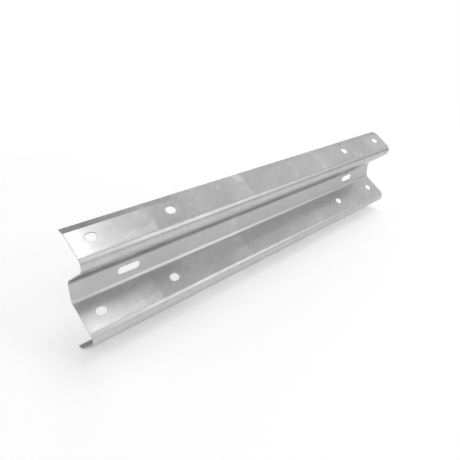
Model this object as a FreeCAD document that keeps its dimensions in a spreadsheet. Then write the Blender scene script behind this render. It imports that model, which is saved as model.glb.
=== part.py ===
# W-beam guardrail: one length of roll-formed galvanised steel rail.
#
# The rail is a single strip of sheet. It is folded along its length into two waves with a valley
# between them, and punched with slots for the bolts. Units are millimetres.
#
# Frame: X runs along the rail, -Y is the traffic side that the waves stand out to, +Z is up. The
# origin is on the flat back of the valley, which bears on the post, at mid-length and mid-height.

import FreeCAD, Part
import math
import os

import Sketcher

Vector = FreeCAD.Vector

doc = FreeCAD.newDocument("w_beam_guardrail")


# Driving dimensions

SIZES = [
    # The rail is one bay long between its post bolts, and runs on by half a lap beyond each.
    ("post_spacing", 1000, "between the two post bolts"),
    ("lap_length", 317.5, "by which two rails lap at a splice, with a post bolt in its middle"),
    ("rail_depth", 83, "from the crests to the back of the valley"),
    ("sheet_thickness", 2.67, "12 gauge sheet"),
    ("crest_spacing", 192, "between the middles of the two crests"),
    ("crest_flat", 5.2, "height of the flat face of each crest, between its bends"),
    ("slope_angle", 35, "degrees between each slope and the depth direction"),
    ("lip_angle", 10, "degrees by which each lip flares from the depth direction"),
    # The rail's height follows from this one, because each lip ends where the post's face is.
    ("lip_flat", 19.57, "depth of each lip's flat face, from its bend to the free edge"),
    ("crest_radius", 20, "bends at the crests, on the traffic side"),
    ("valley_radius", 18, "bends at the valley, on the traffic side"),
    ("lip_radius", 6, "bends at the lips, on the outside"),
    ("splice_slot_length", 28, "along the rail"),
    ("splice_slot_width", 22, "up and down the slope"),
    ("splice_column_spacing", 215.9, "between the two columns of splice slots, with a post bolt halfway"),
    ("splice_slot_setback", 39.7, "from the crests back to the middle of each splice slot"),
    ("post_slot_length", 64, "along the rail"),
    ("post_slot_width", 19, "up and down the valley"),
]

sheet = doc.addObject("Spreadsheet::Sheet", "Sizes")
for row, (alias, number, meaning) in enumerate(SIZES, start=1):
    sheet.set(f"A{row}", alias)
    sheet.set(f"B{row}", str(number))
    sheet.setAlias(f"B{row}", alias)
    sheet.set(f"C{row}", meaning)
doc.recompute()


def size(alias):
    """The number in one cell of the sheet."""
    return float(sheet.get(alias))


RAIL_LENGTH = "Sizes.post_spacing + Sizes.lap_length"

# Each slope turns from a crest's upright face by what its angle leaves of a right angle.
SLOPE = "Sizes.slope_angle * 1 deg"
SLOPE_TURN = f"(90 deg - {SLOPE})"
SLOPE_TAN = f"tan({SLOPE})"

# Half the height of a crest, measured to where its face and its slopes would meet unrounded.
CREST_HALF = f"(Sizes.crest_flat / 2 + Sizes.crest_radius * tan({SLOPE_TURN} / 2))"


# Body and its planes

rail = doc.addObject("PartDesign::Body", "WBeamRail")
rail.Label = "w_beam_rail"


def origin_part(role):
    """One of the body's own origin planes or axes, found by its role."""
    return next(part for part in rail.Origin.OriginFeatures if part.Role == role)


def new_sketch(name, role):
    """An empty sketch flat on one of the body's origin planes."""
    sketch = rail.newObject("Sketcher::SketchObject", name)
    sketch.AttachmentSupport = [(origin_part(role), "")]
    sketch.MapMode = "FlatFace"
    return sketch


def dimension(sketch, name, formula, *constraint):
    """A named constraint whose value follows a formula of the sheet's sizes."""
    index = sketch.addConstraint(Sketcher.Constraint(*constraint))
    sketch.renameConstraint(index, name)
    sketch.setExpression(f"Constraints.{name}", formula)


# Section of one wave

def corners_of_face():
    """Unrounded corners of the traffic face, as depth and height, from the free edge to the middle."""
    slope = math.radians(size("slope_angle"))
    flare = math.radians(size("lip_angle"))
    crest_half = size("crest_flat") / 2 + size("crest_radius") * math.tan((math.pi / 2 - slope) / 2)
    crest_top = Vector(-size("rail_depth"), size("crest_spacing") / 2 + crest_half, 0)
    crest_foot = Vector(-size("rail_depth"), size("crest_spacing") / 2 - crest_half, 0)
    # The lip's inner corner is level with the back of the valley, so its outer corner stands forward.
    lip_reach = size("lip_flat") + size("lip_radius") * math.tan((slope - flare) / 2)
    edge_depth = -size("sheet_thickness") * math.sin(flare)
    fold_depth = edge_depth - lip_reach * math.cos(flare)
    lip_fold = Vector(fold_depth, crest_top.y + (fold_depth - crest_top.x) * math.tan(slope), 0)
    free_edge = Vector(edge_depth, lip_fold.y + lip_reach * math.sin(flare), 0)
    valley_depth = -size("sheet_thickness")
    valley_top = Vector(valley_depth, crest_foot.y - (valley_depth - crest_foot.x) * math.tan(slope), 0)
    middle = Vector(valley_depth, 0, 0)
    return [free_edge, lip_fold, crest_top, crest_foot, valley_top, middle]


def offset_corners(corners, distance):
    """The same corners moved square to the face, to the other side of the sheet."""
    directions = [(after - before).normalize() for before, after in zip(corners, corners[1:])]
    normals = [Vector(-direction.y, direction.x, 0) for direction in directions]
    moved = [corners[0] + normals[0] * distance]
    for corner, before, after in zip(corners[1:-1], normals, normals[1:]):
        halfway = (before + after).normalize()
        moved.append(corner + halfway * (distance / halfway.dot(after)))
    moved.append(corners[-1] + normals[-1] * distance)
    return moved


def bend_arc(centre, radius, ends):
    """The short way round a circle between two points on it."""
    first, last = sorted(math.atan2(end.y - centre.y, end.x - centre.x) for end in ends)
    if last - first > math.pi:
        first, last = last, first + 2 * math.pi
    return Part.ArcOfCircle(Part.Circle(centre, Vector(0, 0, 1), radius), first, last)


def draw_bent_line(sketch, corners, radii):
    """Straight runs between the corners, joined by tangent arcs. Returns the runs and the arcs."""
    starts = [corners[0]]
    ends = []
    arcs = []
    for before, corner, after, radius in zip(corners, corners[1:], corners[2:], radii):
        back = (before - corner).normalize()
        ahead = (after - corner).normalize()
        half_turn = (math.pi - back.getAngle(ahead)) / 2
        reach = radius * math.tan(half_turn)
        centre = corner + (back + ahead).normalize() * (radius / math.cos(half_turn))
        ends.append(corner + back * reach)
        starts.append(corner + ahead * reach)
        arcs.append(sketch.addGeometry(bend_arc(centre, radius, (ends[-1], starts[-1])), False))
    ends.append(corners[-1])
    runs = [sketch.addGeometry(Part.LineSegment(start, end), False) for start, end in zip(starts, ends)]
    return runs, arcs


def touch(sketch, line, line_end, arc):
    """Ties an end of a line to the nearer end of an arc, tangent to it. An end is 1 or 2."""
    ends = [sketch.getPoint(arc, arc_end) for arc_end in (1, 2)]
    point = sketch.getPoint(line, line_end)
    arc_end = 1 if point.distanceToPoint(ends[0]) < point.distanceToPoint(ends[1]) else 2
    sketch.addConstraint(Sketcher.Constraint("Tangent", line, line_end, arc, arc_end))


def join_tangent(sketch, runs, arcs):
    """Ties each arc to the runs before and after it."""
    for before, arc, after in zip(runs, arcs, runs[1:]):
        touch(sketch, before, 2, arc)
        touch(sketch, after, 1, arc)


def draw_wave_section():
    """The closed section of the upper wave: lip, slope, crest, slope and half of the valley."""
    sketch = new_sketch("WaveSection", "YZ_Plane")
    face_corners = corners_of_face()
    back_corners = offset_corners(face_corners, size("sheet_thickness"))
    thickness = size("sheet_thickness")
    face_radii = [size("lip_radius"), size("crest_radius"), size("crest_radius"), size("valley_radius")]
    # The lip and crest bends bulge towards the traffic, and the valley's bend the other way.
    growth = [-thickness, -thickness, -thickness, thickness]
    back_radii = [radius + change for radius, change in zip(face_radii, growth)]
    face_runs, face_arcs = draw_bent_line(sketch, face_corners, face_radii)
    back_runs, back_arcs = draw_bent_line(sketch, back_corners, back_radii)
    join_tangent(sketch, face_runs, face_arcs)
    join_tangent(sketch, back_runs, back_arcs)

    free_edge = sketch.addGeometry(Part.LineSegment(face_corners[0], back_corners[0]), False)
    middle_cut = sketch.addGeometry(Part.LineSegment(face_corners[-1], back_corners[-1]), False)
    for run, run_end, cap, cap_end in (
        (face_runs[0], 1, free_edge, 1),
        (back_runs[0], 1, free_edge, 2),
        (face_runs[-1], 2, middle_cut, 1),
        (back_runs[-1], 2, middle_cut, 2),
    ):
        sketch.addConstraint(Sketcher.Constraint("Coincident", run, run_end, cap, cap_end))

    lip, upper_slope, crest, lower_slope, valley = face_runs
    for face_arc, back_arc in zip(face_arcs, back_arcs):
        sketch.addConstraint(Sketcher.Constraint("Coincident", face_arc, 3, back_arc, 3))
    sketch.addConstraint(Sketcher.Constraint("Perpendicular", lip, free_edge))
    sketch.addConstraint(Sketcher.Constraint("Parallel", lip, back_runs[0]))
    for upright in (crest, valley, back_runs[-1]):
        sketch.addConstraint(Sketcher.Constraint("Vertical", upright))
    sketch.addConstraint(Sketcher.Constraint("PointOnObject", valley, 2, -1))
    sketch.addConstraint(Sketcher.Constraint("PointOnObject", back_runs[-1], 2, -1))

    # Each bend keeps the sheet's thickness: its two faces share a centre.
    bends = (
        ("lip", "lip_radius", "-"),
        ("crest_top", "crest_radius", "-"),
        ("crest_foot", "crest_radius", "-"),
        ("valley", "valley_radius", "+"),
    )
    for (bend, cell, sign), face_arc, back_arc, back_radius in zip(bends, face_arcs, back_arcs, back_radii):
        dimension(sketch, f"{bend}_face_radius", f"Sizes.{cell}", "Radius", face_arc, size(cell))
        back_formula = f"Sizes.{cell} {sign} Sizes.sheet_thickness"
        dimension(sketch, f"{bend}_back_radius", back_formula, "Radius", back_arc, back_radius)

    # The angles are taken from the depth axis, which is the sketch's first axis.
    slope = math.radians(size("slope_angle"))
    flare = math.radians(size("lip_angle"))
    dimension(sketch, "upper_slope_angle", SLOPE, "Angle", -1, 1, upper_slope, 2, slope)
    dimension(sketch, "lower_slope_angle", SLOPE, "Angle", lower_slope, 1, -1, 1, slope)
    dimension(sketch, "lip_flare", "Sizes.lip_angle * 1 deg", "Angle", -1, 1, lip, 2, flare)

    crest_foot = (size("crest_spacing") - size("crest_flat")) / 2
    foot_formula = "(Sizes.crest_spacing - Sizes.crest_flat) / 2"
    dimension(sketch, "crest_height", "Sizes.crest_flat", "DistanceY", crest, 2, crest, 1, size("crest_flat"))
    dimension(sketch, "crest_foot_height", foot_formula, "DistanceY", -1, 1, crest, 2, crest_foot)
    dimension(sketch, "crest_depth", "Sizes.rail_depth", "DistanceX", crest, 2, -1, 1, size("rail_depth"))
    dimension(sketch, "lip_flat", "Sizes.lip_flat", "Distance", lip, size("lip_flat"))
    # The lip's inner corner and the back of the valley lie in one plane, the one that meets a post.
    sketch.addConstraint(Sketcher.Constraint("PointOnObject", free_edge, 2, -2))
    sketch.addConstraint(Sketcher.Constraint("PointOnObject", middle_cut, 2, -2))
    return sketch


# Slots

def draw_slot(sketch, length, width, column_spacing=None):
    """One round-ended slot along the sketch's first axis, by the end of the rail on the -X side.

    It lies on the post bolt, or beyond it by half of the spacing of two columns."""
    centre = -size("post_spacing") / 2
    middle = "Sizes.post_spacing / 2"
    if column_spacing:
        centre -= size(column_spacing) / 2
        middle += f" + Sizes.{column_spacing} / 2"
    radius = size(width) / 2
    half_run = (size(length) - size(width)) / 2
    left = Vector(centre - half_run, 0, 0)
    right = Vector(centre + half_run, 0, 0)
    up = Vector(0, radius, 0)
    quarter = math.pi / 2
    left_circle = Part.Circle(left, Vector(0, 0, 1), radius)
    right_circle = Part.Circle(right, Vector(0, 0, 1), radius)
    left_round = sketch.addGeometry(Part.ArcOfCircle(left_circle, quarter, 3 * quarter), False)
    right_round = sketch.addGeometry(Part.ArcOfCircle(right_circle, -quarter, quarter), False)
    top = sketch.addGeometry(Part.LineSegment(left + up, right + up), False)
    foot = sketch.addGeometry(Part.LineSegment(left - up, right - up), False)
    for line in (top, foot):
        touch(sketch, line, 1, left_round)
        touch(sketch, line, 2, right_round)
    for arc in (left_round, right_round):
        sketch.addConstraint(Sketcher.Constraint("PointOnObject", arc, 3, -1))
    dimension(sketch, "end_radius", f"Sizes.{width} / 2", "Radius", left_round, radius)
    run = f"Sizes.{length} - Sizes.{width}"
    dimension(sketch, "straight_run", run, "DistanceX", left_round, 3, right_round, 3, 2 * half_run)
    dimension(sketch, "from_middle", f"{middle} + ({run}) / 2", "DistanceX", left_round, 3, -1, 1, -left.x)


def splice_sketch(name, side):
    """The first splice slot on one slope of the upper wave: side is 1 above the crest, -1 below it."""
    sketch = new_sketch(name, "XY_Plane")
    sketch.AttachmentOffset = FreeCAD.Placement(Vector(0, 0, 0), FreeCAD.Rotation(Vector(side, 0, 0), 1))
    sketch.setExpression("AttachmentOffset.Rotation.Angle", SLOPE)
    sketch.setExpression("AttachmentOffset.Base.y", "Sizes.splice_slot_setback - Sizes.rail_depth")
    rise = f"({CREST_HALF} + Sizes.splice_slot_setback * {SLOPE_TAN})"
    sketch.setExpression("AttachmentOffset.Base.z", f"Sizes.crest_spacing / 2 + {side} * {rise}")
    draw_slot(sketch, "splice_slot_length", "splice_slot_width", "splice_column_spacing")
    return sketch


def punch(sketch, name):
    """A slot cut square through the sheet, to both sides of its sketch's plane."""
    solid_before = rail.Shape.Volume
    pocket = rail.newObject("PartDesign::Pocket", name)
    pocket.Profile = sketch
    pocket.SideType = "Symmetric"
    pocket.setExpression("Length", "4 * Sizes.sheet_thickness")
    doc.recompute()
    if pocket.Shape.Volume >= solid_before:
        raise RuntimeError(f"{name} cuts nothing")
    return pocket


# The rail is rolled first: one wave, then its mirror image below the middle.
pad = rail.newObject("PartDesign::Pad", "UpperWave")
pad.Profile = draw_wave_section()
pad.SideType = "Symmetric"
pad.setExpression("Length", RAIL_LENGTH)

lower_wave = rail.newObject("PartDesign::Mirrored", "LowerWave")
lower_wave.Originals = [pad]
lower_wave.MirrorPlane = (origin_part("XY_Plane"), [""])
rail.Tip = lower_wave
doc.recompute()

# Splice slots: one on each slope of the upper wave, repeated in a second column, at the other end
# and on the lower wave.
splice_slots = [
    punch(splice_sketch("AboveCrestSketch", 1), "AboveCrestSlot"),
    punch(splice_sketch("BelowCrestSketch", -1), "BelowCrestSlot"),
]
second_column = rail.newObject("PartDesign::LinearPattern", "SecondColumn")
second_column.Direction = (origin_part("X_Axis"), [""])
second_column.Occurrences = 2
second_column.setExpression("Length", "Sizes.splice_column_spacing")
other_end = rail.newObject("PartDesign::Mirrored", "OtherEnd")
other_end.MirrorPlane = (origin_part("YZ_Plane"), [""])
other_wave = rail.newObject("PartDesign::Mirrored", "OtherWave")
other_wave.MirrorPlane = (origin_part("XY_Plane"), [""])
all_splice_slots = rail.newObject("PartDesign::MultiTransform", "SpliceSlots")
all_splice_slots.Originals = splice_slots
all_splice_slots.Transformations = [second_column, other_end, other_wave]
rail.Tip = all_splice_slots
doc.recompute()

# Post slots: one in the valley near each end.
post_sketch = new_sketch("PostSlotSketch", "XZ_Plane")
draw_slot(post_sketch, "post_slot_length", "post_slot_width")
post_slot = punch(post_sketch, "PostSlot")
both_post_slots = rail.newObject("PartDesign::Mirrored", "PostSlots")
both_post_slots.Originals = [post_slot]
both_post_slots.MirrorPlane = (origin_part("YZ_Plane"), [""])
rail.Tip = both_post_slots
rail.Placement = FreeCAD.Placement(Vector(0, 0, 0), FreeCAD.Rotation())
doc.recompute()


# Every feature has to be sound before the rail is written.
for feature in doc.Objects:
    if "Invalid" in feature.State or "Error" in feature.State:
        raise RuntimeError(f"{feature.Label} failed: {feature.State}")
for feature in doc.Objects:
    if feature.isDerivedFrom("Sketcher::SketchObject") and feature.solve() != 0:
        raise RuntimeError(f"{feature.Label} does not solve")

os.makedirs("parts", exist_ok=True)
if rail.Shape.isNull() or not rail.Shape.isValid() or len(rail.Shape.Solids) != 1:
    raise RuntimeError(f"{rail.Label} is not one sound solid")
rail.Shape.exportStep(f"parts/{rail.Label}.step")
box = rail.Shape.BoundBox
print(rail.Label, f"{box.XLength:.2f} x {box.YLength:.2f} x {box.ZLength:.2f} mm,",
      f"{rail.Shape.Volume / 1e6:.4f} litres of steel")
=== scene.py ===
# %% [markdown]
# # A W-beam guardrail, rolled, punched and galvanised
#
# The real rail starts as one flat strip of steel. A rolling mill folds it along its length into two
# waves, a press punches its slots, and then the whole rail is dipped in molten zinc. This lesson makes
# it in the same order, because each step on the real rail leaves something to see: round folds, rolled
# slot rims, and a zinc skin that froze into pale and dark patches.
#
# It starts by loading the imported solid. That solid fixes the size and the place of everything, and the
# rail made here has to stay inside its box.

# %% Load the solid that this rail has to fit
import math

import bmesh
import bpy
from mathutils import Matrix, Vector


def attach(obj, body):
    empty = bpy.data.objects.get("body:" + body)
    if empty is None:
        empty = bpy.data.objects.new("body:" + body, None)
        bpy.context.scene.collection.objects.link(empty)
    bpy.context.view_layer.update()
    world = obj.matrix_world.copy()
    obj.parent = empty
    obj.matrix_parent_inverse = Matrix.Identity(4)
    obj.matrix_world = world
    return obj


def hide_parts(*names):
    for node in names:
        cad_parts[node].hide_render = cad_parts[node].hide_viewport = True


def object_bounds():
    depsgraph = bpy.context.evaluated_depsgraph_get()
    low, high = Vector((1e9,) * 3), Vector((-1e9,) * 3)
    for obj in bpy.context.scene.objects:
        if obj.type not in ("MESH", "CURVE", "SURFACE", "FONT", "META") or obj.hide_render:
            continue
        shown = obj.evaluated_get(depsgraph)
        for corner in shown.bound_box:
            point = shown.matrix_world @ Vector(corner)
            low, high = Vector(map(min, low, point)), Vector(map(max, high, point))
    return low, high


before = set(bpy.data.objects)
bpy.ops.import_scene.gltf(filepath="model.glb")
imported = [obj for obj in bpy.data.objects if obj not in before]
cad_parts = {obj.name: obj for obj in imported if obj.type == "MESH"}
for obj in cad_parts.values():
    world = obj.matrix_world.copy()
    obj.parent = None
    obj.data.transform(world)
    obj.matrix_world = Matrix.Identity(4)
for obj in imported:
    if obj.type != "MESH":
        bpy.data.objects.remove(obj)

cad_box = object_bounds()
print("solid from", tuple(cad_box[0]), "to", tuple(cad_box[1]))

# %% [markdown]
# ## Sizes
#
# A roll former works from a drawing of the section, so the same numbers come first here, in metres.
# They describe the face that the traffic sees, and the wall gets its thickness behind that face later.
# X runs along the rail, -Y is the traffic side and Z is up. The length and the depth are measured on the
# solid. The height isn't needed, because it follows from the folds.

# %% The section and the slots
LENGTH = cad_box[1].x - cad_box[0].x
DEPTH = cad_box[1].y - cad_box[0].y
SHEET = 0.00267
CREST_SPACING = 0.192
CREST_FLAT = 0.0052
LIP_FLAT = 0.01957
SLOPE = math.radians(35)
FLARE = math.radians(10)
CREST_RADIUS = 0.020
VALLEY_RADIUS = 0.018
LIP_RADIUS = 0.006

POST_SPACING = 1.0
SPLICE_SPACING = 0.2159
SPLICE_SETBACK = 0.0397
SPLICE_SLOT = (0.028, 0.022)
POST_SLOT = (0.064, 0.019)

print(f"length {LENGTH:.4f}, depth {DEPTH:.4f}")

# %% [markdown]
# ## Where the folds are
#
# Before they are rounded, the folds are corners between straight runs. Half of the section is enough,
# because the lower wave mirrors the upper one. Each corner follows from the run before it: a slope drops
# back at 35 degrees from the crest, and the lip ends level with the back of the valley.

# %% Corners of the traffic face, as depth and height
def arc_reach(radius, turn):
    """The distance from a corner to where the arc that rounds it starts."""
    return radius * math.tan(turn / 2)


crest_turn = math.pi / 2 - SLOPE
lip_turn = SLOPE - FLARE
crest_half = CREST_FLAT / 2 + arc_reach(CREST_RADIUS, crest_turn)
crest_top = Vector((0, -DEPTH, CREST_SPACING / 2 + crest_half))
crest_foot = Vector((0, -DEPTH, CREST_SPACING / 2 - crest_half))
valley_edge = Vector((0, -SHEET, crest_foot.z - (DEPTH - SHEET) * math.tan(SLOPE)))
lip_reach = LIP_FLAT + arc_reach(LIP_RADIUS, lip_turn)
free_edge_y = -SHEET * math.sin(FLARE)
lip_fold_y = free_edge_y - lip_reach * math.cos(FLARE)
lip_fold = Vector((0, lip_fold_y, crest_top.z + (lip_fold_y + DEPTH) * math.tan(SLOPE)))
free_edge = Vector((0, free_edge_y, lip_fold.z + lip_reach * math.sin(FLARE)))

for name, corner in (("valley", valley_edge), ("crest foot", crest_foot), ("crest top", crest_top),
                     ("lip fold", lip_fold), ("free edge", free_edge)):
    print(f"{name}: depth {corner.y:.4f}, height {corner.z:.4f}")

# %% [markdown]
# ## Tools for working by hand
#
# In a window, faces and edges are picked with the mouse. Here they are picked by their place, with a
# test for each one. An operator then acts on what is picked, as it does on a real bench: first clamp the
# edge, then bend it.

# %% Picking and finishing
# How far off a point may be and still count as there, and how near two points have to be to be welded.
SLACK = 0.00002
WELD = 0.00001


def alone(piece):
    """Selects just one object and makes it the active one."""
    bpy.ops.object.select_all(action="DESELECT")
    piece.select_set(True)
    bpy.context.view_layer.objects.active = piece


def pick(kind, test):
    """In edit mode, selects just the "verts", "edges" or "faces" that pass a test. Returns how many."""
    bpy.ops.mesh.select_mode(type={"verts": "VERT", "edges": "EDGE", "faces": "FACE"}[kind])
    bpy.ops.mesh.select_all(action="DESELECT")
    mesh = bpy.context.edit_object.data
    work = bmesh.from_edit_mesh(mesh)
    found = [part for part in getattr(work, kind) if test(part)]
    for part in found:
        part.select_set(True)
    bmesh.update_edit_mesh(mesh)
    return len(found)


def middle(part):
    """The middle of an edge or a face."""
    return sum((vert.co for vert in part.verts), Vector()) / len(part.verts)


def near(value, target, slack=SLACK):
    return abs(value - target) < slack


def pick_fold(corner):
    """In edit mode, selects just the edges that lie along one corner of the section."""
    pick("edges", lambda edge: all(near(vert.co.y, corner.y) and near(vert.co.z, corner.z)
                                   for vert in edge.verts))


def apply_modifiers(piece):
    """Makes each modifier permanent, from the top of the stack down."""
    alone(piece)
    for name in [modifier.name for modifier in piece.modifiers]:
        bpy.ops.object.modifier_apply(modifier=name)


def count(piece):
    triangles = sum(len(face.vertices) - 2 for face in piece.data.polygons)
    return f"{piece.name}: {len(piece.data.polygons)} faces, {triangles} triangles"


# %% [markdown]
# ## The strip, folded up from the valley
#
# Only a quarter is made by hand: the upper wave of the left half. It begins as a plane where the valley
# meets the post. Its top edge is pulled out four times, each time to the next corner of the section, as
# each stand of the rolling mill adds one more fold.

# %% Fold the strip
bpy.ops.object.select_all(action="DESELECT")
valley_middle = Vector((-LENGTH / 4, valley_edge.y, valley_edge.z / 2))
bpy.ops.mesh.primitive_plane_add(size=1, location=valley_middle, rotation=(math.pi / 2, 0, 0))
rail = bpy.context.object
rail.name = "guardrail_sheet"
bpy.ops.transform.resize(value=(LENGTH / 2, 1, valley_edge.z))
bpy.ops.object.transform_apply(location=True, rotation=True, scale=True)

bpy.ops.object.mode_set(mode="EDIT")
corners = [valley_edge, crest_foot, crest_top, lip_fold, free_edge]
for corner, following in zip(corners, corners[1:]):
    pick_fold(corner)
    step = following - corner
    bpy.ops.mesh.extrude_edges_move(TRANSFORM_OT_translate={"value": (0, step.y, step.z)})
bpy.ops.object.mode_set(mode="OBJECT")
print(count(rail))

# %% [markdown]
# ## Round folds
#
# Sheet steel can't take a sharp fold: its outer skin would crack. Each corner becomes an arc that is
# tangent to both runs. A bevel does just that, if its offset is the distance from the corner to where
# the arc starts. The light slides over these bends, so they get enough facets to shade smoothly.

# %% Round each fold
DEGREES_PER_FACET = 4.5
folds = (
    (valley_edge, VALLEY_RADIUS, crest_turn),
    (crest_foot, CREST_RADIUS, crest_turn),
    (crest_top, CREST_RADIUS, crest_turn),
    (lip_fold, LIP_RADIUS, lip_turn),
)
bpy.ops.object.mode_set(mode="EDIT")
for corner, radius, turn in folds:
    pick_fold(corner)
    facets = round(math.degrees(turn) / DEGREES_PER_FACET)
    bpy.ops.mesh.bevel(offset_type="OFFSET", offset=arc_reach(radius, turn), segments=facets, profile=0.5)
bpy.ops.object.mode_set(mode="OBJECT")
print(count(rail))

# %% [markdown]
# ## A grid to punch and to dent
#
# The runs are still faces as long as the rail. They are cut into a grid, fine where a slot comes and
# coarser between. Each slot gets a window of whole grid cells round it, so that the punched outline can
# be joined to the sheet with clean four-sided faces, which shade without blemishes.
#
# A window has as many cell edges round it as its slot's outline has: eight facets for each quarter of
# a round end, and one edge for each straight side, or seven where that side is long.

# %% Windows round the slots
CORNER_FACETS = 8
STRAIGHT_CUTS = 6
SPLICE_WINDOW = {"length": 0.048, "height": 0.036, "columns": 11, "rows": 6}
valley_flat = valley_edge.z - arc_reach(VALLEY_RADIUS, crest_turn)
POST_WINDOW = {"length": 0.088, "height": 2 * valley_flat, "columns": 19, "rows": 4}

post_x = -POST_SPACING / 2
splice_xs = (post_x - SPLICE_SPACING / 2, post_x + SPLICE_SPACING / 2)
along_upper = Vector((0, math.cos(SLOPE), math.sin(SLOPE)))
along_lower = Vector((0, math.cos(SLOPE), -math.sin(SLOPE)))
slope_distance = SPLICE_SETBACK / math.cos(SLOPE)
upper_middle = crest_top + along_upper * slope_distance
lower_middle = crest_foot + along_lower * slope_distance
slot_rows = ((upper_middle, along_upper), (lower_middle, along_lower))
print(f"splice slots at heights {upper_middle.z:.4f} and {lower_middle.z:.4f}")

# %% Where the columns go
COLUMN = 0.0115


def evenly(start, end, spacing):
    """Places between two ends, not on them, about a spacing apart."""
    gaps = max(1, round(abs(end - start) / spacing))
    return [start + (end - start) * index / gaps for index in range(1, gaps)]


windows = [(x, SPLICE_WINDOW["length"], SPLICE_WINDOW["columns"]) for x in splice_xs]
windows.append((post_x, POST_WINDOW["length"], POST_WINDOW["columns"]))
columns = []
reached = -LENGTH / 2
for x, length, cells in sorted(windows):
    columns += evenly(reached, x - length / 2, COLUMN)
    columns += [x - length / 2 + length * index / cells for index in range(cells + 1)]
    reached = x + length / 2
columns += evenly(reached, 0, COLUMN)
print(len(columns), "columns")

# %% Cut the grid
# SAME_WAY is how far the product of two unit directions may be from 1 for them to count as the same.
ROW = 0.0064
SAME_WAY = 0.0001


def cut(place, normal, test):
    """Cuts the faces that pass a test by a plane."""
    pick("faces", test)
    bpy.ops.mesh.bisect(plane_co=place, plane_no=normal)


def cut_run(start, end, places):
    """Cuts the run between two corners at distances from its start."""
    along = (end - start).normalized()
    square = Vector((0, -along.z, along.y))

    def on_run(face):
        in_line = near((middle(face) - start).dot(square), 0, WELD)
        return in_line and near(abs(face.normal.dot(square)), 1, SAME_WAY)

    for place in places:
        cut(start + along * place, along, on_run)


window_places = [slope_distance + SPLICE_WINDOW["height"] * (index / SPLICE_WINDOW["rows"] - 0.5)
                 for index in range(SPLICE_WINDOW["rows"] + 1)]
bpy.ops.object.mode_set(mode="EDIT")
for start, end, end_arc in ((crest_top, lip_fold, arc_reach(LIP_RADIUS, lip_turn)),
                            (crest_foot, valley_edge, arc_reach(VALLEY_RADIUS, crest_turn))):
    before = evenly(arc_reach(CREST_RADIUS, crest_turn), window_places[0], ROW)
    after = evenly(window_places[-1], (end - start).length - end_arc, ROW)
    cut_run(start, end, before + window_places + after)
cut_run(lip_fold, free_edge, evenly(arc_reach(LIP_RADIUS, lip_turn), lip_reach, ROW))
cut_run(Vector((0, -SHEET, 0)), valley_edge, [valley_flat / 2])
cut_run(crest_foot, crest_top, [crest_half])
for x in columns:
    cut(Vector((x, 0, 0)), Vector((1, 0, 0)), lambda face: True)
bpy.ops.object.mode_set(mode="OBJECT")
print(count(rail))

# %% [markdown]
# ## Punching the slots
#
# A press punches the slots after rolling. A boolean with a cutter would do it too, but it leaves
# slivers round each hole. Instead, the window's faces are taken out, and a plane of the slot's own size
# is held in front of the gap. Its corners are bevelled until it is a round-ended slot, and its outline is
# bridged to the window's. Bridging needs the two outlines apart, or it can't tell which way round they
# run, so the slot is pressed home into the sheet only after that.

# %% Punch a slot in a window
HOLD_OFF = 0.010
WINDOW_SLACK = 0.0001


def punch(place, along, window, slot_size):
    """Replaces a window of the grid by rings of faces round a slot. Returns the faces and edges used."""
    length, width = slot_size
    facing = Vector((1, 0, 0)).cross(along)

    def height_off(point):
        """How far a point is in front of the sheet."""
        return (point - place).dot(facing)

    def beside(point, slack=WINDOW_SLACK):
        """Is a point in the window's outline, as seen square to the sheet, and near the sheet?"""
        offset = point - place
        in_length = abs(offset.x) < window["length"] / 2 + slack
        in_height = abs(offset.dot(along)) < window["height"] / 2 + slack
        return in_length and in_height and abs(height_off(point)) < HOLD_OFF + slack

    removed = pick("faces", lambda face: beside(middle(face), 0) and near(height_off(middle(face)), 0))
    bpy.ops.mesh.delete(type="FACE")
    lean = math.atan2(along.z, along.y)
    bpy.ops.mesh.primitive_plane_add(size=1, location=place + facing * HOLD_OFF, rotation=(lean, 0, 0))
    bpy.ops.transform.resize(value=(length, width, width))
    bpy.ops.mesh.select_mode(type="VERT")
    bpy.ops.mesh.bevel(offset_type="OFFSET", offset=width / 2, segments=CORNER_FACETS, affect="VERTICES")
    bpy.ops.mesh.remove_doubles(threshold=WELD)
    bpy.ops.mesh.delete(type="ONLY_FACE")
    if pick("edges", lambda edge: edge.is_wire and edge.calc_length() > width):
        bpy.ops.mesh.subdivide(number_cuts=STRAIGHT_CUTS)
    edges = pick("edges", lambda edge: (edge.is_boundary or edge.is_wire) and beside(middle(edge)))
    bpy.ops.mesh.bridge_edge_loops(number_cuts=1, interpolation="LINEAR")
    for lift in (HOLD_OFF, HOLD_OFF / 2):
        pick("verts", lambda vert: beside(vert.co) and near(height_off(vert.co), lift, WINDOW_SLACK))
        bpy.ops.transform.translate(value=-facing * lift)
    return removed, edges


bpy.ops.object.mode_set(mode="EDIT")
for x in splice_xs:
    for place, along in slot_rows:
        print("splice slot:", punch(Vector((x, place.y, place.z)), along, SPLICE_WINDOW, SPLICE_SLOT))
bpy.ops.object.mode_set(mode="OBJECT")
print(count(rail))

# %% [markdown]
# ## The other three quarters
#
# The section is a mirror image of itself about the middle of the valley, and the slots are the same at
# both ends. The post slot lies right across the first mirror line, so it is punched between the two
# mirrorings. A mirror can leave faces turned the wrong way, so the seam is welded and all the faces are
# turned one way before the sheet gets its thickness. They have to look towards the traffic.

# %% Mirror the wave, punch the post slot, mirror the end
def mirror(axis):
    """Mirrors the rail about the origin along one axis, 0 for X or 2 for Z, and welds the seam."""
    modifier = rail.modifiers.new("Mirror", "MIRROR")
    modifier.use_axis = [index == axis for index in range(3)]
    modifier.merge_threshold = WELD
    apply_modifiers(rail)


mirror(2)
bpy.ops.object.mode_set(mode="EDIT")
print("post slot:", punch(Vector((post_x, -SHEET, 0)), Vector((0, 0, 1)), POST_WINDOW, POST_SLOT))
bpy.ops.object.mode_set(mode="OBJECT")
mirror(0)
print(count(rail))

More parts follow.
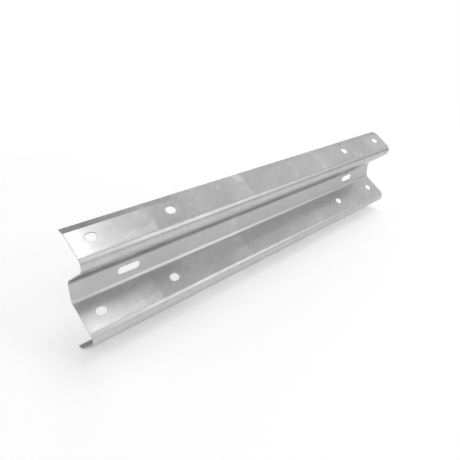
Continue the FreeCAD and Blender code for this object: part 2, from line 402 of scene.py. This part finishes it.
# %% Turn all the faces towards the traffic
def crests_look():
    """The mean Y direction of the crests' faces: -1 is towards the traffic."""
    directions = [face.normal.y for face in rail.data.polygons if near(face.center.y, -DEPTH)]
    return sum(directions) / len(directions)


bpy.ops.object.mode_set(mode="EDIT")
bpy.ops.mesh.select_all(action="SELECT")
bpy.ops.mesh.remove_doubles(threshold=WELD)
bpy.ops.mesh.normals_make_consistent(inside=False)
bpy.ops.object.mode_set(mode="OBJECT")
if crests_look() > 0:
    bpy.ops.object.mode_set(mode="EDIT")
    bpy.ops.mesh.select_all(action="SELECT")
    bpy.ops.mesh.flip_normals()
    bpy.ops.object.mode_set(mode="OBJECT")
print("crest faces look towards Y", round(crests_look(), 3))

# %% [markdown]
# ## Not quite flat
#
# Rolled sheet is never a perfect plane: the rolls stretch the folds, and the slopes between them dish
# by fractions of a millimetre. It doesn't show in the outline, but a shiny surface gives it away in its
# reflections. A displace modifier with a soft cloud texture makes it, weighted so that only the slopes
# and lips move. The valley stays flat, since it bears on the post, and so do the crests, which set the
# depth.

# %% Dish the slopes
DISH = 0.0005
DISH_SIZE = 0.11
END_STIFFNESS = 0.03

slopes = rail.vertex_groups.new(name="slopes")
for vert in rail.data.vertices:
    # The share of the way back from crest to valley. The weight is 0 at both and 1 halfway.
    depth_share = min(1, max(0, (vert.co.y + DEPTH) / (free_edge.y + DEPTH)))
    from_folds = 4 * depth_share * (1 - depth_share)
    from_ends = min(1, (LENGTH / 2 - abs(vert.co.x)) / END_STIFFNESS)
    slopes.add([vert.index], from_folds * from_ends, "REPLACE")
soft_clouds = bpy.data.textures.new("dishes", "CLOUDS")
soft_clouds.noise_scale = DISH_SIZE
soft_clouds.noise_depth = 1
dish = rail.modifiers.new("Dish", "DISPLACE")
dish.texture = soft_clouds
dish.texture_coords = "LOCAL"
dish.vertex_group = slopes.name
dish.strength = DISH
dish.mid_level = 0.5
apply_modifiers(rail)
rail.vertex_groups.clear()
print(count(rail))

# %% [markdown]
# ## Thickness
#
# Solidify grows the wall behind the traffic face and closes it along every edge, slots too. Its even
# thickness keeps the wall the same round the bends, as rolled sheet nearly is.

# %% Give the sheet its thickness
traffic_verts = len(rail.data.vertices)
wall = rail.modifiers.new("Wall", "SOLIDIFY")
wall.thickness = SHEET
wall.offset = -1
wall.use_even_offset = True
apply_modifiers(rail)
print(count(rail))

# %% [markdown]
# ## Edges that were sheared and then dipped
#
# A press shears the sheet square, but the zinc that covers the cut afterwards rounds it. A punch also
# rolls the rim of its slot inwards on the side it comes from. So every sharp edge is bevelled: a little
# along the ends and the lips and behind the slots, and more round the slots on the traffic side. The
# sharp edges are found by the angle between their two faces.

# %% Round the sheared edges
SHEARED_ROUND = 0.0006
PUNCHED_ROUND = 0.0010
ROUND_FACETS = 3
SHARP = math.radians(60)


def is_sharp(edge):
    return edge.calc_face_angle(0) > SHARP


def is_punched(edge):
    """Is the edge a slot's rim on the traffic side, whose points came before those of the wall behind?"""
    place = middle(edge)
    on_outline = abs(place.x) > LENGTH / 2 - 2 * SHEET or abs(place.z) > free_edge.z - 2 * SHEET
    return is_sharp(edge) and not on_outline and all(vert.index < traffic_verts for vert in edge.verts)


bpy.ops.object.mode_set(mode="EDIT")
rims = pick("edges", is_punched)
bpy.ops.mesh.bevel(offset_type="OFFSET", offset=PUNCHED_ROUND, segments=ROUND_FACETS, profile=0.5)
others = pick("edges", is_sharp)
bpy.ops.mesh.bevel(offset_type="OFFSET", offset=SHEARED_ROUND, segments=ROUND_FACETS, profile=0.5)
bpy.ops.object.mode_set(mode="OBJECT")
print(f"{rims} edges of punched rims, {others} of the rest,", count(rail))

# %% Shade the folds smoothly
SMOOTH_UP_TO = math.radians(40)
alone(rail)
bpy.ops.object.shade_smooth_by_angle(angle=SMOOTH_UP_TO)
shading = rail.modifiers.new("Shading", "WEIGHTED_NORMAL")
shading.keep_sharp = True
apply_modifiers(rail)
print(count(rail))

# %% [markdown]
# ## Where the zinc ran thick
#
# Molten zinc draws up at an edge as the rail leaves the bath, and sets there thicker and duller. The
# material has to know how near an edge is, which no noise can tell it, so each point of the mesh gets a
# number: 1 at a cut edge, falling to 0 a centimetre and a half away. A slot's own edge is as far off as
# a pill of its size would be, which is quick to work out for every point.

# %% Nearness to an edge
RIM_REACH = 0.015


def pill_distance(along_length, along_width, slot_size):
    """How far outside a slot's outline a point in its plane lies."""
    length, width = slot_size
    past_straight = max(0, abs(along_length) - (length - width) / 2)
    return math.hypot(past_straight, along_width) - width / 2


def edge_distance(point):
    """Distance to the nearest end, free edge or slot. One quarter of the rail stands for all four."""
    point = Vector((-abs(point.x), point.y, abs(point.z)))
    distances = [LENGTH / 2 + point.x, (free_edge - Vector((0, point.y, point.z))).length]
    for x in splice_xs:
        for centre, along in slot_rows:
            offset = point - Vector((x, centre.y, centre.z))
            if abs(offset.dot(Vector((1, 0, 0)).cross(along))) < 2 * SHEET:
                distances.append(pill_distance(offset.x, offset.dot(along), SPLICE_SLOT))
    if point.y > -2 * SHEET:
        distances.append(pill_distance(point.x - post_x, point.z, POST_SLOT))
    return max(0, min(distances))


nearness = [max(0, 1 - edge_distance(vert.co) / RIM_REACH) for vert in rail.data.vertices]
rim = rail.data.attributes.new("rim", "FLOAT", "POINT")
rim.data.foreach_set("value", nearness)
print(f"{sum(value > 0 for value in nearness)} points are near an edge")

# %% [markdown]
# ## Taking the solid's place
#
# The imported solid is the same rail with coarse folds, so this one stands for it and rides on its body.

# %% Replace the solid
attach(rail, "root")
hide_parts("w_beam_rail")
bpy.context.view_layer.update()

# %% [markdown]
# ## The zinc skin
#
# The steel is dipped in molten zinc. The skin cools unevenly, so it is a dull mirror in many greys: broad
# bands that end sharply where the rail was held, thin streaks where the zinc ran back up the slope, paler
# dabs where it set last, and over it all the crystals that zinc freezes in, each under a centimetre wide.
# Any one noise would look like smoke, so each of these gets its own few nodes, at its own real size.
#
# All of them add up to one number, the shade: how much paler a point is than plain zinc, as a share.
# It sets the colour, and paler zinc is also a little shinier. Painted light and shade further down join it.

# %% Tools for a material
class Nodes:
    """Adds nodes to a material or a world and wires them by name."""

    def __init__(self, tree):
        self.tree = tree
        tree.nodes.clear()

    def add(self, kind, settings=None, **inputs):
        """Adds one node. An input goes by its name, or by _ and its number, and is a value or an output."""
        node = self.tree.nodes.new(kind)
        for name, value in (settings or {}).items():
            setattr(node, name, value)
        for name, value in inputs.items():
            key = int(name[1:]) if name[1:].isdigit() else name.replace("_", " ")
            if isinstance(value, bpy.types.NodeSocket):
                self.tree.links.new(value, node.inputs[key])
            else:
                node.inputs[key].default_value = value
        return node

    def maths(self, operation, first, second=0.0, third=0.0):
        return self.add("ShaderNodeMath", {"operation": operation}, _0=first, _1=second, _2=third).outputs[0]

    def spread(self, value, low, high, to_low=0.0, to_high=1.0, smooth=False):
        """Maps a range of a value to another, and holds it at the ends."""
        settings = {"interpolation_type": "SMOOTHSTEP" if smooth else "LINEAR", "clamp": True}
        node = self.add("ShaderNodeMapRange", settings, _0=value, _1=low, _2=high, _3=to_low, _4=to_high)
        return node.outputs[0]

    def hold(self, value, lowest, highest):
        """Keeps a value between two limits."""
        return self.maths("MINIMUM", self.maths("MAXIMUM", value, lowest), highest)

    def about_zero(self, value):
        """Moves a value from the range 0 to 1 to the range -0.5 to 0.5."""
        return self.maths("SUBTRACT", value, 0.5)

    def cell_value(self, cells):
        """A number from 0 to 1 that is the same all over each cell of a cell noise."""
        return self.add("ShaderNodeSeparateColor", None, Color=cells.outputs["Color"]).outputs[0]

    def report(self, done):
        print(f"{done}: {len(self.tree.nodes)} nodes so far")


# %% [markdown]
# ## Where a point lies on its wave
#
# Both waves have the same pattern at the same places, because they went through the same rolls and bath.
# So the pattern is read by length and depth, with a height that starts again at each wave. The zinc ran
# off at a slant, so what it left leans along the rail by more than it goes in depth.

# %% Place on a wave
LEAN = -1.2
HEIGHT_SHARE = 0.25

zinc = bpy.data.materials.new("galvanised_zinc")
zinc.use_nodes = True
make = Nodes(zinc.node_tree)
place = make.add("ShaderNodeTexCoord").outputs["Object"]
place_x, place_y, place_z = make.add("ShaderNodeSeparateXYZ", None, Vector=place).outputs
wave_height = make.maths("WRAP", place_z, CREST_SPACING, 0.0)
leaning_x = make.maths("MULTIPLY_ADD", place_y, LEAN, place_x)
on_wave = make.add("ShaderNodeCombineXYZ", None, X=leaning_x, Y=place_y, Z=wave_height).outputs[0]


def noise(length, depth, detail, roughness):
    """Soft noise from about -0.5 to 0.5, with marks of this length and depth in metres."""
    scale = (1 / length, 1 / depth, HEIGHT_SHARE / depth)
    stretched = make.add("ShaderNodeMapping", None, Vector=on_wave, Scale=scale).outputs[0]
    found = make.add("ShaderNodeTexNoise", None, Vector=stretched, Scale=1.0, Detail=detail,
                     Roughness=roughness)
    return make.about_zero(found.outputs[0])


make.report("place on a wave")

# %% Ragged edges
# The edges of bands, dabs and marks wander over EDGE_WANDER, and on a finer scale over EDGE_RAGGED.
EDGE_WANDER = 0.024
EDGE_RAGGED = 0.006

waves = noise(length=0.035, depth=0.035, detail=1.0, roughness=0.5)
teeth = noise(length=0.009, depth=0.009, detail=2.0, roughness=0.5)
ragged = make.maths("MULTIPLY_ADD", teeth, EDGE_RAGGED, make.maths("MULTIPLY", waves, EDGE_WANDER))
edge_x = make.maths("ADD", place_x, ragged)
edge_y = make.maths("ADD", place_y, ragged)
make.report("ragged edges")

# %% Bands, streaks and clouds
BANDS_PER_METRE = 14.0
CLOUD_SHADE = 0.32
STREAK_SHADE = 0.22
WISP_SHADE = 0.12
BAND_SHADE = 0.04

clouds = noise(length=0.110, depth=0.100, detail=3.0, roughness=0.55)
streaks = noise(length=0.024, depth=0.060, detail=3.0, roughness=0.6)
wisps = noise(length=0.010, depth=0.016, detail=2.0, roughness=0.6)
band_cells = make.add("ShaderNodeTexVoronoi", {"voronoi_dimensions": "1D"}, W=edge_x, Scale=BANDS_PER_METRE)
bands = make.about_zero(make.cell_value(band_cells))

shade = make.maths("MULTIPLY", clouds, CLOUD_SHADE)
shade = make.maths("MULTIPLY_ADD", streaks, STREAK_SHADE, shade)
shade = make.maths("MULTIPLY_ADD", wisps, WISP_SHADE, shade)
shade = make.maths("MULTIPLY_ADD", bands, BAND_SHADE, shade)
make.report("bands, streaks and clouds")

# %% Pale dabs
# A cell noise scatters them. Only some cells get one, and its size is the cell's own. The largest radius
# and where the edge begins and ends are in cells.
DAB_CELL = 0.045
CELLS_WITHOUT = 0.45
DAB_RADIUS = 0.16
DAB_EDGE = (-0.02, 0.03)
DAB_SHADE = 0.09

dab_place = make.add("ShaderNodeCombineXYZ", None, X=edge_x, Y=edge_y, Z=wave_height).outputs[0]
dab_cells = make.add("ShaderNodeTexVoronoi", None, Vector=dab_place, Scale=1 / DAB_CELL)
dab_radius = make.spread(make.cell_value(dab_cells), CELLS_WITHOUT, 1.0, 0.0, DAB_RADIUS)
inside = make.maths("SUBTRACT", dab_radius, dab_cells.outputs["Distance"])
dabs = make.spread(inside, *DAB_EDGE, smooth=True)
shade = make.maths("MULTIPLY_ADD", dabs, DAB_SHADE, shade)
make.report("dabs")

# %% [markdown]
# ## Marks and painted light with a place of their own
#
# Some marks on a rail catch the eye, and a noise never puts one where it should be. So each of them is a
# patch with its own place, made of four soft steps multiplied together, and so are a few patches of painted
# light and shade. A step across an edge is narrow where the patch ends sharply and wide where it fades out.

# %% Marks and painted light from the left end to the right
# Each mark runs from a start to an end along the rail and from a front to a back in depth, in metres. Then
# come how soft its start, its end and its sides are, how much paler it is than the skin round it, or darker
# below 0, and how much of that shows on the lower wave. The first one shows almost only there.
MARKS_AND_PAINTED_LIGHT = (
    # Painted light: lifts the shade at the top of the lower wave's slope near the left end, under the upper
    # wave.
    (-0.700, -0.585, -0.050, -0.010, 0.010, 0.020, 0.012, 0.015, 6.0),
    # A darker zinc patch, and painted shade that dims the overhead lamp's reflection on the upper slope.
    (-0.615, -0.490, -0.078, 0.010, 0.015, 0.040, 0.008, -0.14, 0.15),
    (-0.535, -0.457, -0.078, -0.060, 0.020, 0.002, 0.003, 0.20, 0.8),
    (-0.452, -0.362, -0.076, 0.010, 0.002, 0.030, 0.006, -0.13, 0.8),
    # Painted light: lifts the dim reflections of both slopes, most of all on the lower wave.
    (-0.320, -0.040, -0.078, 0.010, 0.060, 0.060, 0.010, 0.07, 1.7),
    (-0.222, -0.213, -0.038, -0.020, 0.002, 0.002, 0.003, 0.22, 0.0),
    (-0.190, -0.116, -0.078, 0.010, 0.030, 0.003, 0.006, 0.12, 0.8),
    (-0.148, -0.120, -0.031, 0.010, 0.006, 0.004, 0.004, 0.26, 0.5),
    (-0.116, 0.060, -0.078, -0.040, 0.003, 0.060, 0.012, -0.06, 1.0),
    (0.085, 0.103, -0.034, -0.020, 0.005, 0.005, 0.004, 0.12, 0.5),
    (0.220, 0.236, -0.078, -0.070, 0.004, 0.004, 0.003, 0.18, 0.6),
    (0.222, 0.252, -0.078, 0.010, 0.010, 0.004, 0.006, 0.08, 0.6),
    (0.426, 0.446, -0.072, -0.060, 0.006, 0.008, 0.004, 0.16, 0.6),
    (0.446, 0.472, -0.078, -0.070, 0.006, 0.006, 0.003, 0.20, 0.6),
    # Painted light: lifts the right end of the upper wave.
    (0.540, 0.700, -0.078, 0.010, 0.030, 0.010, 0.010, 0.10, 0.2),
    (0.566, 0.574, -0.056, -0.030, 0.003, 0.005, 0.005, 0.16, 0.8),
)
# One wave's marks give way to the other's over this height at the middle of the valley.
SEAM = 0.010
upper_wave = make.spread(place_z, -SEAM / 2, SEAM / 2)


def between(value, start, end, soft_start, soft_end):
    """1 between two places and 0 outside, with a soft step at each."""
    after_start = make.spread(value, start - soft_start, start + soft_start, smooth=True)
    before_end = make.spread(value, end - soft_end, end + soft_end, 1.0, 0.0, smooth=True)
    return make.maths("MULTIPLY", after_start, before_end)


def mark_or_painted_light(start, end, front, back, soft_start, soft_end, soft_sides, paler, on_lower):
    """How much paler a point is for one mark or painted patch: all of it inside, less across its soft edges.
    """
    along = between(edge_x, start, end, soft_start, soft_end)
    across = between(edge_y, front, back, soft_sides, soft_sides)
    strength = make.spread(upper_wave, 0.0, 1.0, paler * on_lower, paler)
    return make.maths("MULTIPLY", make.maths("MULTIPLY", along, across), strength)


for numbers in MARKS_AND_PAINTED_LIGHT:
    shade = make.maths("ADD", shade, mark_or_painted_light(*numbers))
make.report(f"{len(MARKS_AND_PAINTED_LIGHT)} marks")

# %% [markdown]
# ## Crests, valley and underside
#
# The crests and the valley were pressed against the rolls, which left them plain, so the marks are
# fainter there. The lips reach as far back as the valley does, but no roll pressed them. The valley is
# painted darker, most of all away from the left end: painted shade for its dimmer reflection between
# the waves. The upper wave's underside is painted paler: painted light that lifts its dim reflection.

# %% Plain crests and valley
# Each pair is where a soft step begins and ends: two in depth, then one in height from the valley's middle.
CREST_STEP = (-0.082, -0.072)
VALLEY_STEP = (-0.022, -0.006)
LIP_STEP = (0.12, 0.14)
MARKS_ON_CREST = 0.5
MARKS_IN_VALLEY = 0.25

from_middle = make.maths("ABSOLUTE", place_z)
off_crest = make.spread(place_y, *CREST_STEP, MARKS_ON_CREST, 1.0, smooth=True)
off_valley = make.spread(place_y, *VALLEY_STEP, 1.0, MARKS_IN_VALLEY, smooth=True)
off_valley = make.maths("MAXIMUM", off_valley, make.spread(from_middle, *LIP_STEP))
shade = make.maths("MULTIPLY", shade, make.maths("MULTIPLY", off_crest, off_valley))
make.report("plain crests and valley")

# %% Painted shade in the valley and painted light under the upper wave
# The valley's painted shade has its step in height from its middle, and changes along the rail.
VALLEY_TOP_STEP = (0.020, 0.032)
VALLEY_PAINTED_SHADE_SPAN = (-0.60, -0.24)
VALLEY_PAINTED_SHADES = (-0.01, -0.09)
UNDERSIDE = (0.034, 0.078)
UNDERSIDE_SOFTNESS = 0.008
UNDERSIDE_PAINTED_LIGHT = 0.13

in_painted_dark_valley = make.spread(from_middle, *VALLEY_TOP_STEP, 1.0, 0.0, smooth=True)
valley_painted_shade = make.spread(place_x, *VALLEY_PAINTED_SHADE_SPAN, *VALLEY_PAINTED_SHADES)
underside_painted_light = between(place_z, *UNDERSIDE, UNDERSIDE_SOFTNESS, UNDERSIDE_SOFTNESS)
# Painted shade: darkens the valley, most of all away from the left end.
shade = make.maths("MULTIPLY_ADD", in_painted_dark_valley, valley_painted_shade, shade)
# Painted light: makes the upper wave's underside paler.
shade = make.maths("MULTIPLY_ADD", underside_painted_light, UNDERSIDE_PAINTED_LIGHT, shade)
make.report("dark valley and pale underside")

# %% [markdown]
# ## Crystals and grain
#
# Zinc freezes into flat crystals, and each one mirrors the light a little differently. A cell noise has
# the same straight borders. Its place is bent by a soft noise first, because evenly shaped cells look
# like tiles. The crystals show most where the zinc is thick, near the edges.

# %% Crystals
CRYSTAL = 0.009
CRYSTAL_BEND = 0.45
CRYSTAL_SHADE = 0.06
CRYSTAL_SHADE_AT_RIM = 0.16
RIM_SHADE = 0.04
RIM_AMOUNT = 0.8
RIM_UNEVENNESS = 2.0

to_crystals = (1 / CRYSTAL, 1 / CRYSTAL, 1 / CRYSTAL)
straight = make.add("ShaderNodeMapping", None, Vector=place, Scale=to_crystals).outputs[0]
bend = make.add("ShaderNodeTexNoise", None, Vector=straight, Scale=1.1, Detail=1.0).outputs["Color"]
bent = make.add("ShaderNodeVectorMath", {"operation": "MULTIPLY_ADD"}, _0=bend,
                _1=(CRYSTAL_BEND, CRYSTAL_BEND, CRYSTAL_BEND), _2=straight)
crystals = make.add("ShaderNodeTexVoronoi", None, Vector=bent.outputs[0], Scale=1.0)
crystal_tone = make.about_zero(make.cell_value(crystals))

rim_zinc = make.add("ShaderNodeAttribute", {"attribute_name": rim.name}).outputs["Fac"]
rim_zinc = make.maths("MULTIPLY", rim_zinc, make.maths("MULTIPLY_ADD", wisps, RIM_UNEVENNESS, RIM_AMOUNT))
crystal_contrast = make.spread(rim_zinc, 0.0, 1.0, CRYSTAL_SHADE, CRYSTAL_SHADE_AT_RIM)
fine_shade = make.maths("MULTIPLY_ADD", crystal_tone, crystal_contrast, shade)
fine_shade = make.maths("MULTIPLY_ADD", rim_zinc, RIM_SHADE, fine_shade)
make.report("crystals")

# %% Relief
# The crystals stand out by hundredths of a millimetre, and a finer grain by less.
CRYSTAL_RELIEF = 0.00003
GRAIN_RELIEF = 0.000006
GRAINS_PER_METRE = 700.0

grain = make.add("ShaderNodeTexNoise", None, Vector=place, Scale=GRAINS_PER_METRE, Detail=2.0).outputs[0]
crystal_height = make.maths("MULTIPLY", crystals.outputs["Distance"], CRYSTAL_RELIEF)
height = make.maths("MULTIPLY_ADD", grain, GRAIN_RELIEF, crystal_height)
bump = make.add("ShaderNodeBump", None, Strength=1.0, Distance=1.0, Height=height).outputs[0]
make.report("relief")

# %% Zinc from shade and relief
# Zinc has a trace of blue, and mirrors a little less than plain metal would at a grazing angle.
ZINC_TONE = 0.54
BLUE_TRACE = 1.004
GRAZING_TINT = (0.85, 0.85, 0.85, 1)
DULLNESS = 0.325
SHINIER_WHERE_PALE = -0.15
CRYSTAL_DULLNESS = 0.04
RIM_DULLNESS = 0.05
LEAST_DULL = 0.285
DULLEST = 0.42

tone = make.maths("MULTIPLY_ADD", fine_shade, ZINC_TONE, ZINC_TONE)
blue = make.maths("MULTIPLY", tone, BLUE_TRACE)
colour = make.add("ShaderNodeCombineColor", None, Red=tone, Green=tone, Blue=blue).outputs[0]
dullness = make.maths("MULTIPLY_ADD", shade, SHINIER_WHERE_PALE, DULLNESS)
dullness = make.maths("MULTIPLY_ADD", crystal_tone, CRYSTAL_DULLNESS, dullness)
dullness = make.maths("MULTIPLY_ADD", rim_zinc, RIM_DULLNESS, dullness)
steel = make.add("ShaderNodeBsdfPrincipled", None, Base_Color=colour, Metallic=1.0,
                 Roughness=make.hold(dullness, LEAST_DULL, DULLEST), Specular_Tint=GRAZING_TINT, Normal=bump)
make.add("ShaderNodeOutputMaterial", None, Surface=steel.outputs[0])
rail.data.materials.clear()
rail.data.materials.append(zinc)
make.report("zinc")

# %% [markdown]
# ## Camera
#
# The camera stands where the photograph was taken: in front of the left end, a little above the rail,
# turned 45 degrees from it and looking down at 25.

# %% Camera
camera_data = bpy.data.cameras.new("camera")
camera_data.lens = 34.77
camera_data.sensor_width = 36.0
camera = bpy.data.objects.new("camera", camera_data)
camera.location = (-1.002, -0.863, 0.554)
camera.rotation_euler = (math.radians(64.95), 0, math.radians(-44.85))
bpy.context.scene.collection.objects.link(camera)
bpy.context.scene.camera = camera
print("camera at", tuple(camera.location))

# %% [markdown]
# ## Floor
#
# The rail stands on its lower edge on a white floor. Well away from the rail the floor fades from paint
# to a plain white glow, so no horizon shows. Near the rail it is painted, to take the rail's shadow, and
# glows a little on top, to be as pale as a studio floor is under many lamps. The glow shows only to the
# camera, in reflections and through glass.

# %% Floor
FLOOR_Z = cad_box[0].z
FLOOR_RADIUS = 2.4
FLOOR_FADE = 0.8
FLOOR_PAINT = 0.835
FLOOR_GLOW = 0.285
FLOOR_DULLNESS = 0.9
WHITE = (1, 1, 1, 1)

bpy.ops.object.select_all(action="DESELECT")
bpy.ops.mesh.primitive_circle_add(vertices=96, radius=FLOOR_RADIUS, fill_type="NGON",
                                  location=(0, 0, FLOOR_Z))
floor = bpy.context.object
floor.name = "floor"
bpy.ops.object.transform_apply(location=True, rotation=True, scale=True)
print(f"floor {2 * FLOOR_RADIUS} m wide at height {FLOOR_Z:.4f}")

# %% White paint and glow
white = bpy.data.materials.new("white_floor")
white.use_nodes = True
make = Nodes(white.node_tree)
place = make.add("ShaderNodeTexCoord").outputs["Object"]
far = make.add("ShaderNodeVectorMath", {"operation": "LENGTH"}, _0=place).outputs["Value"]
painted = make.spread(far, FLOOR_RADIUS - FLOOR_FADE, FLOOR_RADIUS, FLOOR_PAINT, 0.0, smooth=True)
glowing = make.spread(far, FLOOR_RADIUS - FLOOR_FADE, FLOOR_RADIUS, FLOOR_GLOW, 1.0, smooth=True)
paint_colour = make.add("ShaderNodeCombineColor", None, Red=painted, Green=painted, Blue=painted).outputs[0]
paint = make.add("ShaderNodeBsdfPrincipled", None, Base_Color=paint_colour, Roughness=FLOOR_DULLNESS)
ray = make.add("ShaderNodeLightPath")
seen = make.maths("MAXIMUM", ray.outputs["Is Camera Ray"], ray.outputs["Is Glossy Ray"])
seen = make.maths("MAXIMUM", seen, ray.outputs["Is Transmission Ray"])
glow = make.add("ShaderNodeEmission", None, Color=WHITE, Strength=make.maths("MULTIPLY", seen, glowing))
lit_paint = make.add("ShaderNodeAddShader", None, _0=paint.outputs[0], _1=glow.outputs[0])
make.add("ShaderNodeOutputMaterial", None, Surface=lit_paint.outputs[0])
floor.data.materials.append(white)
make.report("floor")

# %% [markdown]
# ## Lamps
#
# Zinc mostly shows what stands round it, so the lamps are placed like mirrors' subjects: each one is
# where some face of the rail looks. The slopes near the left end look almost straight up, to the wide
# overhead lamp, and away from that end they look past its edge. The middle of the rail looks over to the
# right, and the bends sweep from one to the other, past the dim gaps between the lamps.

# %% Lamps
LAMP_DISTANCE = 12.0


def softbox(name, azimuth, elevation, half_width, half_height, radiance):
    """A flat lamp that looks at the rail from afar. Angles are in degrees, and a radiance of 1 is white."""
    turn = math.radians(azimuth)
    rise = math.radians(elevation)
    out = Vector((math.cos(rise) * math.cos(turn), math.cos(rise) * math.sin(turn), math.sin(rise)))
    data = bpy.data.lights.new(name, "AREA")
    data.shape = "RECTANGLE"
    data.size = 2 * LAMP_DISTANCE * math.tan(math.radians(half_width))
    data.size_y = 2 * LAMP_DISTANCE * math.tan(math.radians(half_height))
    data.energy = radiance * math.pi * data.size * data.size_y
    lamp = bpy.data.objects.new(name, data)
    lamp.location = out * LAMP_DISTANCE
    lamp.rotation_mode = "QUATERNION"
    lamp.rotation_quaternion = out.to_track_quat("Z", "Y")
    bpy.context.scene.collection.objects.link(lamp)
    print(f"{name}: {data.size:.1f} x {data.size_y:.1f} m, {data.energy:.0f} W")


# Azimuth, elevation, half width and half height, then radiance. Azimuth 0 is where the right end points, and
# -90 is straight in front of the rail.
softbox("overhead", -9, 78, 21, 10, 3.5)
softbox("front_high", -56, 58, 13, 9, 0.42)
softbox("front", -53, 31, 14, 16.5, 1.22)
softbox("front_right", -26, 26, 14, 20, 0.33)
softbox("right", 0, 42.3, 13.5, 17, 0.74)
softbox("far_right", 39, 39, 17, 20, 0.53)
softbox("low", 12, 19, 30, 8, 0.25)

# %% [markdown]
# ## The room
#
# Between the lamps the zinc shows the room. Its walls are pale low down and fade to a dark ceiling, and
# they fade out below the floor. They are palest in front and on the left, a little dimmer on the right,
# and dimmest behind the rail. No wall is brighter than a sheet of white paper. To the camera the room is
# plain white.

# %% The room
# The slope is how fast the walls brighten towards X, Y and Z. It is added to the level.
WALL_SLOPE = (-0.60, -0.06, -1.18)
WALL_LEVEL = 1.30
PALEST_WALL = 0.95
WALL_BEHIND = 0.45
# Where soft steps begin and end, in the height and the depth of a direction of length 1.
FLOOR_STEP = (-0.15, 0.14)
BEHIND_STEP = (0.60, 0.90)

room = bpy.data.worlds.new("white_room")
bpy.context.scene.world = room
room.use_nodes = True
make = Nodes(room.node_tree)
direction = make.add("ShaderNodeTexCoord").outputs["Generated"]
parts = make.add("ShaderNodeSeparateXYZ", None, Vector=direction).outputs
walls = make.add("ShaderNodeVectorMath", {"operation": "DOT_PRODUCT"}, _0=direction, _1=WALL_SLOPE)
walls = make.maths("ADD", walls.outputs["Value"], WALL_LEVEL)
walls = make.hold(walls, 0.0, PALEST_WALL)
above_floor = make.spread(parts["Z"], *FLOOR_STEP, smooth=True)
not_behind = make.spread(parts["Y"], *BEHIND_STEP, 1.0, WALL_BEHIND, smooth=True)
lit = make.maths("MULTIPLY", make.maths("MULTIPLY", walls, above_floor), not_behind)
ray = make.add("ShaderNodeLightPath")
seen = make.maths("MAXIMUM", ray.outputs["Is Camera Ray"], ray.outputs["Is Transmission Ray"])
strength = make.add("ShaderNodeMix", {"data_type": "FLOAT"}, _0=seen, _2=lit, _3=1.0).outputs[0]
background = make.add("ShaderNodeBackground", None, Color=WHITE, Strength=strength)
make.add("ShaderNodeOutputWorld", None, Surface=background.outputs[0])
make.report("room")

# %% [markdown]
# ## Done
#
# The view transform is plain, so a colour in the file is the colour in the picture.

# %% Finish
bpy.context.scene.view_settings.view_transform = "Standard"
